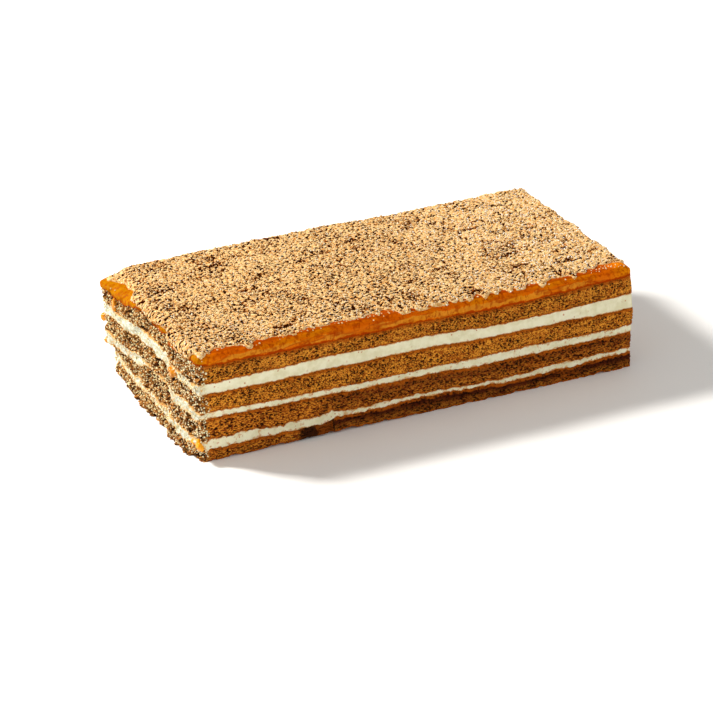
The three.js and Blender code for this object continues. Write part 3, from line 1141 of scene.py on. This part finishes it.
def cream_relief():
    """Soft smears on a cut, with a few small holes, and rougher ridges on the torn end."""
    shape = Shape("Cream relief", ("Crag",))
    place = shape.place()
    smear = shape.streaks(place, (0.14, 0.14, 0.5)) - 0.5
    fine = shape.waves(place, 0.9)
    holes = shape.cells(place, 0.5)
    hole = holes.ease(0.3, 0.1) * shape.chance(holes).above(0.86)
    torn = shape.attribute("torn")
    ridge = shape.streaks(place, (0.3, 0.3, 0.8), 3.0) - 0.5
    rough = ridge * shape.given("Crag") * torn * 1.6
    height = smear * 0.35 + fine * (0.14 + torn * 0.3) - hole * 0.3 + rough + torn * 0.7
    return shape.finish(shape.stored(shape.raised(shape.given("Geometry"), height), "pit", hole))


def jelly_relief():
    """Low waves and knife marks."""
    shape = Shape("Jelly relief")
    place = shape.place()
    marks = shape.streaks(place, (0.25, 0.25, 0.07)) - 0.5
    rough = shape.attribute("torn") * shape.waves(place, 0.35)
    height = marks * 0.35 + shape.waves(place, 0.22) * 0.5 + rough * 1.2
    return shape.finish(shape.raised(shape.given("Geometry"), height))


def crumb_gaps(tree, sheet, border):
    """How near the gaps in the crumb coat are, from 0 to 1: many small ones and a few long cracks.

    They are fewer towards the right, and end where the border, in millimetres, is near.
    """
    crowd = tree.waves(sheet, 0.06, 3.0) * 0.2 + tree.split(sheet).ease(0, 80) * 0.025
    clumps = tree.noise(tree.scaled(sheet, (0.65, 0.95, 1.0)), 0.92, 2.5) + crowd
    bands = tree.streaks(tree.bent(sheet, 0.4, 1.6), (0.035, 0.12, 1.0))
    crack = bands.ease(0.468, 0.498) * bands.ease(0.528, 0.498) * tree.noise(sheet, 0.05).ease(0.46, 0.52)
    return clumps.ease(0.512, 0.44).most(crack) * border.ease(0.2, 1.6)


def bed_relief():
    """Crumbs that lie close, in clumps with gaps and cracks between them."""
    shape = Shape("Crumb bed relief", ("Crumb",))
    place = shape.place()
    per_mm = 1 / shape.given("Crumb")
    grains = shape.cells(place, per_mm * 0.8).ease(0.75, 0.1)
    fine = shape.cells(place, per_mm * 1.5).ease(0.8, 0.1)
    clusters = shape.waves(place, 0.2, 3.0)
    swell = shape.waves(place, 0.045, 1.0)
    border = shape.attribute("border")
    rim = crumb_gaps(shape, shape.attribute("sheet", "FLOAT_VECTOR"), border)
    gap = rim.ease(0.5, 0.7)
    relief = grains * 0.4 + fine * 0.25 + clusters * 1.1 + swell * 0.5 - gap * 0.5
    moved = shape.raised(shape.given("Geometry"), border.ease(0.0, 1.2) * relief)
    moved = shape.stored(moved, "gaps", shape.attribute("crumbs") * gap)
    moved = shape.stored(moved, "crumbs", shape.attribute("crumbs") * (1 - gap))
    return shape.finish(shape.stored(moved, "rim", rim))


def crumb_forms(shape):
    """Dented balls of one metre, as instances to pick from."""
    forms = shape.node("GeometryNodeJoinGeometry")
    for form in range(CRUMB_FORMS):
        ball = shape.node("GeometryNodeMeshIcoSphere", {}, {"Radius": 0.5, "Subdivisions": 1})
        spot = shape.node("GeometryNodeInputPosition")
        inputs = {"Vector": spot, "W": form * 3.7, "Scale": 1.9}
        dent = shape.node("ShaderNodeTexNoise", {"noise_dimensions": "4D"}, inputs) - 0.5
        lump = shape.shifted(ball, shape.times(spot, dent * 2.2))
        flat = shape.node("GeometryNodeSetShadeSmooth", {}, {"Geometry": lump, "Shade Smooth": False})
        one = shape.node("GeometryNodeGeometryToInstance", {}, {"Geometry": flat})
        shape.tree.links.new(one.socket, forms.socket.node.inputs[0])
    return forms


def crumb_scatter():
    """Loose crumbs on a surface, as dense as its value named crumbs says, or in its gaps.

    Each has a shade of its own with painted shade next to a gap, and its points know how far they face
    outwards, which paints shade on their inward sides.
    """
    shape = Shape("Loose crumbs", ("Apart", "Smallest", "Largest", "In Gaps", "Lift"), ("Seed",))
    apart = shape.given("Apart") * MM
    inside = shape.given("In Gaps")
    seed = shape.given("Seed")
    points = shape.node(
        "GeometryNodeDistributePointsOnFaces",
        {"distribute_method": "POISSON"},
        {
            "Mesh": shape.given("Geometry"),
            "Distance Min": apart,
            "Density Max": 1 / (apart * apart),
            "Density Factor": shape.attribute("crumbs") * (1 - inside) + shape.attribute("gaps") * inside,
            "Seed": seed,
        },
    )
    normal = points.other("Normal")
    width = shape.random("FLOAT", 2, shape.given("Smallest") * MM, shape.given("Largest") * MM, seed + 1)
    squash = shape.random("FLOAT_VECTOR", 0, (0.75, 0.75, 0.65), (1.25, 1.25, 1.0), seed + 2)
    lifted = shape.shifted(points, shape.times(normal, width * shape.given("Lift")))
    inputs = {
        "Points": shape.stored(lifted, "outer", normal, "POINT", "FLOAT_VECTOR"),
        "Instance": crumb_forms(shape),
        "Pick Instance": True,
        "Instance Index": shape.random("INT", 4, 0, CRUMB_FORMS - 1, seed + 3),
        "Rotation": shape.random("FLOAT_VECTOR", 0, (0, 0, 0), (math.tau, math.tau, math.tau), seed + 4),
        "Scale": shape.times(squash, width),
    }
    crumbs = shape.node("GeometryNodeInstanceOnPoints", {}, inputs)
    dim = shape.random("FLOAT", 2, 0.0, 1.0, seed + 5)
    # Each crumb's own tone, with painted shade next to a gap of the bed
    light = (1 - dim * dim * dim * 0.4) * (1 - shape.attribute("rim").ease(0.3, 0.6) * 0.95)
    shaded = shape.stored(crumbs, "shade", light, "INSTANCE")
    real = shape.node("GeometryNodeRealizeInstances", {}, {"Geometry": shaded})
    # How far each face turns outwards, stored to paint shade on the crumbs' inward sides
    outer = shape.attribute("outer", "FLOAT_VECTOR")
    facing = shape.vectors("DOT_PRODUCT", shape.node("GeometryNodeInputNormal"), outer, 1)
    return shape.finish(shape.stored(real, "facing", facing.ease(-0.4, 0.4)))


# Finishes


def sponge_finish(name, look):
    """Moist sponge: uneven crumb with painted highlights and shade, dark pores in painted shade, and orange
    where caramel has soaked in at its faces.
    """
    colours = settings().colours
    crumb = shade(getattr(colours, look.setting), look.strength)
    finish = Finish(name, Roughness=0.9, Specular_IOR_Level=0.1)
    place = finish.place()
    rest = finish.attribute("rest", "Vector")
    rise = finish.attribute("rise")
    grain = finish.noise(rest, 2.1, 3.0)
    # Uneven crumb: its own grain, with painted highlights on light grains and raised lumps, where crumb
    # walls catch light, and painted shade on the dark ones
    lit = (grain + finish.attribute("lump") * 0.3).ease(0.4, 0.62)
    tone = finish.mix(lit, shade(crumb, 0.5, 0.42, 0.34), shade(crumb, *look.lightest))

    # Darker right of the joint, partly more soaked and partly painted shade, most of all in the upper half,
    # as a painted shadow under the cream
    under = (rise + (grain - 0.5) * 1.2).ease(0.3, 0.8) * 0.75 + 0.45
    deeper = finish.split(place).ease(*DEEPER_X) * under * look.deep_share
    tone = finish.mix(deeper, tone, shade(colours.pore, *look.deep))

    # Soaked at its faces and in patches
    patch = finish.noise(place, 0.08).ease(0.5, 0.75) * 0.5
    reach = rise.ease(0.3, 0.7) * 0.7 + 0.6
    near = finish.attribute("edge") + finish.waves(place, 0.35, 3.0) * 1.3
    edge = (near - reach).ease(0.45, -0.45) * 0.9
    soaked = finish.mix(grain.ease(0.3, 0.7), shade(colours.soaked, 0.65), colours.soaked)
    tone = finish.mix(edge.most(patch), tone, soaked)

    # Loose crumb on the torn end
    rust = shade(colours.crumb_brown, 0.7, 0.55, 0.4)
    loose = finish.mix(grain.ease(0.35, 0.6), rust, shade(colours.crumb_gold, 0.92, 0.98, 1.0))
    tone = finish.mix(finish.attribute("torn") * 0.9, tone, loose)

    # Caramel at a joint, and pores and the torn end's gaps in near-black painted shade
    stained = finish.attribute("stain") * (finish.noise(place, 0.3, 4.0) * 2.4 - 0.2)
    smooth = stained.ease(0.55, 0.68)
    tone = finish.mix(stained.ease(0.08, 0.3), tone, shade(colours.soaked, 0.08))
    tone = finish.mix(smooth * 0.9, tone, shade(colours.soaked, 0.5))
    pit = pores(finish, rest, 1 / settings().sizes.pore) * (1 - edge.most(smooth) * 0.5)
    tone = finish.mix((pit * 0.95).most(finish.attribute("gap")), tone, colours.pore)
    finish.set("Base Color", tone)
    finish.bump(finish.noise(place, 2.2), 0.35)
    return finish.material


def cream_finish():
    """Satin cream with smears of crumb at its faces and a few specks."""
    colours = settings().colours
    finish = Finish(
        "Cream",
        Subsurface_Weight=0.15,
        Subsurface_Scale=0.0015,
        Subsurface_Radius=(1.0, 0.85, 0.6),
        Specular_IOR_Level=0.35,
    )
    place = finish.place()
    torn = finish.attribute("torn")
    wrap = finish.attribute("wrap")
    dim = shade(colours.cream, 0.86, 0.84, 0.74)
    tone = finish.mix(finish.noise(place, 0.3, 3.0).ease(0.35, 0.7), colours.cream, dim)

    # Ridges on the torn end, all in painted shade that dims it under the key light: darkest in their
    # hollows, paler and cooler on their crests
    shaded_hollow = shade(colours.cream, 0.5, 0.46, 0.35)
    crest = shade(colours.cream, 0.68, 0.73, 0.86)
    ridges = finish.streaks(place, (0.5, 0.5, 1.0), 3.0).ease(0.35, 0.65)
    tone = finish.mix(torn - wrap * 0.8, tone, finish.mix(ridges, shaded_hollow, crest))

    # Smears at its faces, more of them in the lower layers
    low = finish.split(place).other("Z").ease(27, 20)
    fray = finish.waves(place, 0.45, 3.0) * 2.2 + finish.waves(place, 1.6) * 1.4
    near = finish.attribute("edge") + fray * (low * 0.5 + 0.5)
    sponge = shade(colours.sponge_top, 0.8)
    toast = shade(colours.crumb_gold, 0.98, 1.12, 1.0)
    smear = finish.mix(finish.noise(place, 1.1).ease(0.4, 0.6).most(torn), sponge, toast)
    blots = finish.noise(place, 0.4, 4.0).ease(0.58, 0.68) * low * 0.6
    tone = finish.mix((near.ease(0.6, 0.1) * 0.9).most(blots), tone, smear)

    # Specks and holes, and crumbs round the torn end's corners
    specks = finish.cells(finish.bent(place, 0.8, 1.0), 0.6)
    speck = specks.ease(0.3, 0.12) * (finish.chance(specks) + low * 0.2).above(0.88)
    tone = finish.mix(speck.most(finish.attribute("pit") * 0.5) * 0.8, tone, sponge)
    ends = (wrap + fray * 0.5).ease(0.75, 1.05) * wrap.ease(0.0, 0.2)
    finish.set("Base Color", finish.mix(ends, tone, smear))
    finish.set("Roughness", finish.noise(place, 0.8) * 0.3 + 0.35)
    finish.bump(finish.noise(place, 1.4, 3.0), 0.15)
    return finish.material


def jelly_finish():
    """Glossy caramel jelly: deep orange where smooth, paler on the cut, dark at its foot."""
    colours = settings().colours
    finish = Finish("Caramel jelly", Specular_IOR_Level=0.005)
    place = finish.place()
    across = finish.split(place)
    torn = finish.attribute("torn")
    ragged = finish.waves(place, 0.28, 4.0) * 0.5 + finish.waves(place, 0.9, 3.0) * 0.25
    rise = finish.attribute("rise") + ragged

    # Paler where the knife has opened it
    window = finish.streaks(place, (0.045, 0.045, 0.2), 3.0)
    cut = rise.ease(0.62, 0.55) * rise.ease(0.1, 0.2) * (window.ease(0.4, 0.5) * 0.8 + 0.2)
    smear = finish.streaks(place, (0.5, 0.5, 0.12), 3.0)
    paler = finish.mix(smear.ease(0.3, 0.7), shade(colours.jelly_cut, 0.75), colours.jelly_cut)
    tone = finish.mix(cut * 0.85, colours.jelly, paler)

    # Bright where light passes through, at both ends most of all
    bright = finish.streaks(place, (0.06, 0.06, 0.2), 3.0).ease(0.45, 0.7) * 0.6
    bright = bright.most(across.ease(-88, -100).most(across.ease(90, 101)) * 0.7)
    tone = finish.mix(bright, tone, colours.jelly_thin)
    # On the torn end a dimmed copy of the light-through colour: painted shade that tempers the key light
    # there
    tone = finish.mix(torn * 0.8, tone, shade(colours.jelly_thin, 0.48, 0.56, 0.34))
    # Darker on its top, except at the right and torn ends: painted shade that tempers the key light there
    flat = finish.attribute("rise").ease(0.9, 0.98) * across.ease(98, 88) * (1 - torn)
    tone = finish.mix(flat * 0.9, tone, shade(colours.jelly, 0.5, 0.46, 0.5))

    # Deep in blots, in veins, round what is cut open and at its foot
    deep = shade(colours.jelly, 0.48, 0.26, 0.2)
    tone = finish.mix(finish.noise(place, 0.45, 4.0).ease(0.48, 0.68) * 0.6, tone, deep)
    veins = finish.streaks(place, (0.9, 0.9, 0.35), 4.0).ease(0.54, 0.66)
    tone = finish.mix(veins * 0.6, tone, deep)
    outline = window.ease(0.4, 0.45) * window.ease(0.5, 0.45) * rise.ease(0.8, 0.6)
    tone = finish.mix(outline * 0.55, tone, deep)
    foot = rise + finish.waves(place, 0.06) * 0.35
    finish.set("Base Color", finish.mix(foot.ease(0.2, 0.08) * 0.85, tone, deep))
    finish.set("Roughness", cut * 0.2 + 0.35)
    finish.bump(finish.noise(place, 0.9, 3.0), 0.12)
    return finish.material


def bed_finish():
    """Close crumbs, in painted shade round the gaps, golden-brown, and near-black in them."""
    colours = settings().colours
    finish = Finish("Crumb bed", Roughness=0.95, Specular_IOR_Level=0.0)
    place = finish.place()
    rim = crumb_gaps(finish, finish.attribute("sheet", "Vector"), finish.attribute("border"))
    tone = finish.mix(finish.noise(place, 0.8, 3.0).ease(0.3, 0.6), colours.crumb_gold, colours.crumb_tan)
    # Painted shade: golden-brown round the gaps, darker towards them and near-black in them
    tone = finish.mix(rim.ease(0.2, 0.5), tone, colours.crumb_brown)
    tone = finish.mix(rim.ease(0.5, 0.7), tone, shade(colours.crumb_brown, 0.3, 0.2, 0.12))
    finish.set("Base Color", finish.mix(rim.ease(0.7, 0.95), tone, colours.pore))
    finish.bump(finish.noise(place, 2.5), 0.3)
    return finish.material


def crumb_finish(name, dark, light):
    """Dry biscuit crumb, each one of its own shade with painted shade near gaps and on its inward sides, and
    paler towards the right and the front.
    """
    finish = Finish(name, Roughness=0.95, Specular_IOR_Level=0.0)
    place = finish.place()
    # Painted shade on each crumb's inward sides, mixed with its own shade
    own = finish.attribute("shade") * (finish.attribute("facing") * 0.9 + 0.1)
    across = finish.split(place)
    paler = across.ease(-10, 80) * 0.8 + across.other("Y").ease(-10, -50) * 0.35
    tone = finish.mix(paler * own, finish.mix(own, dark, light), shade(light, 1.12, 1.28, 1.55))
    spots = finish.noise(place, 2.0).ease(0.5, 0.8) * 0.2
    finish.set("Base Color", finish.mix(spots, tone, settings().colours.crumb_brown))
    finish.bump(finish.noise(place, 4.0), 0.2)
    return finish.material


def drop_finish():
    """Clear caramel, from orange to bright yellow."""
    colours = settings().colours
    finish = Finish("Caramel drops", Specular_IOR_Level=0.2)
    place = finish.place()
    yellow = (finish.attribute("shade") + finish.waves(place, 0.4, 3.0) * 0.7).ease(0.15, 0.8)
    finish.set("Base Color", finish.mix(yellow, shade(colours.jelly_thin, 0.8), colours.drop))
    finish.set("Roughness", finish.noise(place, 0.9) * 0.2 + 0.15)
    finish.bump(finish.noise(place, 0.7, 3.0), 0.2)
    return finish.material


def floor_finish():
    """Plain pale floor with the faintest unevenness."""
    finish = Finish("Floor", Specular_IOR_Level=0.2)
    place = finish.place()
    pale = settings().colours.floor
    finish.set("Base Color", finish.mix(finish.noise(place, 0.02), pale, shade(pale, 0.985)))
    finish.set("Roughness", finish.noise(place, 0.05) * 0.1 + 0.75)
    return finish.material


def crumb_kinds():
    """Kinds of loose crumbs: four on the bed, the dark ones in its gaps as painted shade, and one on the
    torn end.
    """
    colours = settings().colours
    bed = [bpy.data.objects["crumb_bed"]]
    edge = [*bed, bpy.data.objects[JELLY + "_cut"]]
    sides = [bpy.data.objects[node + "_cut"] for node in (*SPONGES, *CREAMS)]
    brown = colours.crumb_brown
    # The dark ends of the crumbs' colours give each crumb's own darker tone, and painted shade next to the
    # bed's gaps and on the crumbs' inward sides
    amber = shade(colours.crumb_gold, 0.62, 0.48, 0.22)
    # Colours of the dark crumbs that fill the bed's gaps as painted shade
    gap_shade_deep = shade(brown, 0.12, 0.08, 0.05)
    gap_shade = shade(brown, 0.245, 0.1925, 0.1225)
    toast = shade(brown, 1.2, 1.2, 1.1)
    ivory = shade(colours.crumb_tan, 1.14, 1.5, 1.85)
    slot = "biscuit_crumbs"
    return (
        CrumbKind("crumbs_pale", bed, False, -0.1, 1.0, (0.4, 1.0), amber, colours.crumb_pale, slot),
        CrumbKind("crumbs_tan", edge, False, -0.08, 1.15, (0.4, 1.05), amber, colours.crumb_tan, slot),
        CrumbKind("crumbs_gold", bed, False, -0.08, 2.2, (0.5, 1.1), brown, colours.crumb_gold, slot),
        CrumbKind("crumbs_dark", bed, True, -0.08, 1.0, (0.35, 0.8), gap_shade_deep, gap_shade, slot),
        CrumbKind("torn_crumbs", sides, False, 0.2, 0.7, (0.4, 1.15), toast, ivory, "sponge"),
    )


# The pieces


class CAKE_OT_sponges(bpy.types.Operator):
    """Make the four sponge sheets with their pores, soaked faces and torn end"""

    bl_idname = "cake.sponges"
    bl_label = "Sponge sheets"

    def execute(self, context):
        sizes = settings().sizes
        relief = sponge_relief()
        for index, (node, look) in enumerate(zip(SPONGES, SPONGE_LOOKS)):
            piece = relief.applied(
                layer_piece(node, square_profile(SPONGE_ROWS), SPONGE_CRUMBS),
                Pore=sizes.pore,
                Pore_Depth=sizes.pore_depth,
                Flat=look.flat_pores,
                Crag=sizes.crag,
                Shift=SPONGE_SHIFT * index,
                Material=sponge_finish(f"Sponge {index + 1}", look),
            )
            dressed(piece, "sponge", node)
        return {"FINISHED"}


class CAKE_OT_creams(bpy.types.Operator):
    """Make the three layers of cream"""

    bl_idname = "cake.creams"
    bl_label = "Cream layers"

    def execute(self, context):
        relief = cream_relief()
        material = cream_finish()
        for node in CREAMS:
            crumbs = np.interp(layers().ring.spots()[1], TORN_Y, CREAM_CRUMBS[node])
            piece = layer_piece(node, square_profile(CREAM_ROWS), crumbs)
            relief.applied(piece, Crag=settings().sizes.crag, Material=material)
            dressed(piece, "cream", node)
        return {"FINISHED"}


class CAKE_OT_jelly(bpy.types.Operator):
    """Make the caramel jelly with its rounded upper edge"""

    bl_idname = "cake.jelly"
    bl_label = "Caramel jelly"

    def execute(self, context):
        low, high = layers().span(JELLY)
        profile = round_profile(JELLY_ROWS, (high - low).mean(), settings().sizes.jelly_round * MM)
        piece = layer_piece(JELLY, profile, JELLY_CRUMBS, JELLY_STRAYS)
        jelly_relief().applied(piece, Material=jelly_finish())
        dressed(piece, "caramel_jelly", JELLY)
        return {"FINISHED"}


class CAKE_OT_drops(bpy.types.Operator):
    """Make the drops of caramel on the torn end"""

    bl_idname = "cake.drops"
    bl_label = "Caramel drops"

    def execute(self, context):
        mesh = drops_mesh()
        mesh.materials.append(drop_finish())
        dressed(linked("caramel_drops", mesh), "caramel_jelly")
        return {"FINISHED"}


class CAKE_OT_crumb_bed(bpy.types.Operator):
    """Make the bed of close crumbs on the jelly, hanging over the torn end"""

    bl_idname = "cake.crumb_bed"
    bl_label = "Crumb bed"

    def execute(self, context):
        piece = bed_piece()
        bed_relief().applied(piece, Crumb=settings().sizes.crumb, Material=bed_finish())
        dressed(piece, "biscuit_crumbs", COAT)
        return {"FINISHED"}


class CAKE_OT_crumbs(bpy.types.Operator):
    """Strew loose crumbs on the bed and on the torn end"""

    bl_idname = "cake.crumbs"
    bl_label = "Loose crumbs"

    def execute(self, context):
        sizes = settings().sizes
        scatter = crumb_scatter()
        for index, kind in enumerate(crumb_kinds()):
            smallest, largest = kind.widths
            piece = scatter.applied(
                joined_copy(kind.name, kind.sources),
                Apart=kind.apart,
                Smallest=smallest * sizes.crumb,
                Largest=largest * sizes.crumb,
                In_Gaps=float(kind.in_gaps),
                Lift=kind.lift,
                Seed=sizes.seed + SEED_STEP * index,
                Material=crumb_finish(kind.name.replace("_", " ").capitalize(), kind.dark, kind.light),
            )
            dressed(piece, kind.slot)
        return {"FINISHED"}


class CAKE_OT_stage(bpy.types.Operator):
    """Make the floor, the light and the camera"""

    bl_idname = "cake.stage"
    bl_label = "Stage"

    def execute(self, context):
        stage = settings().stage
        scene = context.scene
        scene.view_settings.view_transform = "Standard"
        cells = {"x_subdivisions": FLOOR_CELLS, "y_subdivisions": FLOOR_CELLS}
        bpy.ops.mesh.primitive_grid_add(size=FLOOR_SIDE, **cells)
        floor = context.object
        floor.name = "floor"
        floor.data.materials.append(floor_finish())
        scene.world = bpy.data.worlds.new("Sky")
        scene.world.use_nodes = True
        sky = scene.world.node_tree.nodes["Background"]
        sky.inputs["Color"].default_value = opaque(SKY_TONE)
        sky.inputs["Strength"].default_value = stage.sky
        area_light("key", KEY_PLACE, KEY_WIDTH, stage.key, KEY_TONE)
        area_light("fill", FILL_PLACE, FILL_WIDTH, stage.fill, FILL_TONE)
        scene.camera = camera(stage)
        return {"FINISHED"}


def area_light(name, place, width, power, tone):
    """A square light that points at the cake's middle."""
    light = bpy.data.lights.new(name, "AREA")
    light.size = width
    light.energy = power
    light.color = tone
    lamp = linked(name, light)
    lamp.location = place
    lamp.rotation_euler = (SLAB_MIDDLE - Vector(place)).to_track_quat("-Z", "Y").to_euler()


def camera(stage):
    """A camera with the photograph's view."""
    turn, rise, roll = (math.radians(angle) for angle in (stage.azimuth, stage.elevation, stage.roll))
    back = Vector((math.sin(turn) * math.cos(rise), -math.cos(turn) * math.cos(rise), math.sin(rise)))
    level = Vector((math.cos(turn), math.sin(turn), 0))
    upright = back.cross(level)
    right = level * math.cos(roll) + upright * math.sin(roll)
    up = upright * math.cos(roll) - level * math.sin(roll)
    aim = (-back * stage.focal - right * stage.right - up * stage.up).normalized()
    right = aim.cross(up).normalized()
    up = right.cross(aim)
    lens = bpy.data.cameras.new("camera")
    lens.sensor_width = SENSOR_WIDTH
    lens.lens = SENSOR_WIDTH * stage.focal / FRAME_SIDE
    lens.clip_end = CLIP_END
    seen = linked("camera", lens)
    seen.matrix_world = Matrix((right, up, -aim)).transposed().to_4x4()
    seen.location = SLAB_MIDDLE + back * stage.distance
    return seen


class CAKE_PT_panel(bpy.types.Panel):
    """The cake's pieces and settings"""

    bl_idname = "CAKE_PT_panel"
    bl_label = "Biscuit Cake"
    bl_space_type = "VIEW_3D"
    bl_region_type = "UI"
    bl_category = "Cake"

    def draw(self, context):
        for operator in OPERATORS:
            self.layout.operator(operator.bl_idname)
        for group in (context.scene.cake.sizes, context.scene.cake.colours, context.scene.cake.stage):
            column = self.layout.column()
            for name in group.__annotations__:
                column.prop(group, name)


OPERATORS = (
    CAKE_OT_sponges,
    CAKE_OT_creams,
    CAKE_OT_jelly,
    CAKE_OT_drops,
    CAKE_OT_crumb_bed,
    CAKE_OT_crumbs,
    CAKE_OT_stage,
)
CLASSES = (CakeSizes, CakeColours, CakeStage, CakeSettings, *OPERATORS, CAKE_PT_panel)


def register():
    """Registers the classes and gives each scene its settings."""
    for kind in CLASSES:
        bpy.utils.register_class(kind)
    bpy.types.Scene.cake = PointerProperty(type=CakeSettings)


def unregister():
    """Takes back what register does."""
    del bpy.types.Scene.cake
    for kind in reversed(CLASSES):
        bpy.utils.unregister_class(kind)


def main():
    """Makes the whole cake and its stage."""
    register()
    bpy.ops.cake.sponges()
    bpy.ops.cake.creams()
    bpy.ops.cake.jelly()
    bpy.ops.cake.drops()
    bpy.ops.cake.crumb_bed()
    bpy.ops.cake.crumbs()
    bpy.ops.cake.stage()


if __name__ == "__main__":
    main()
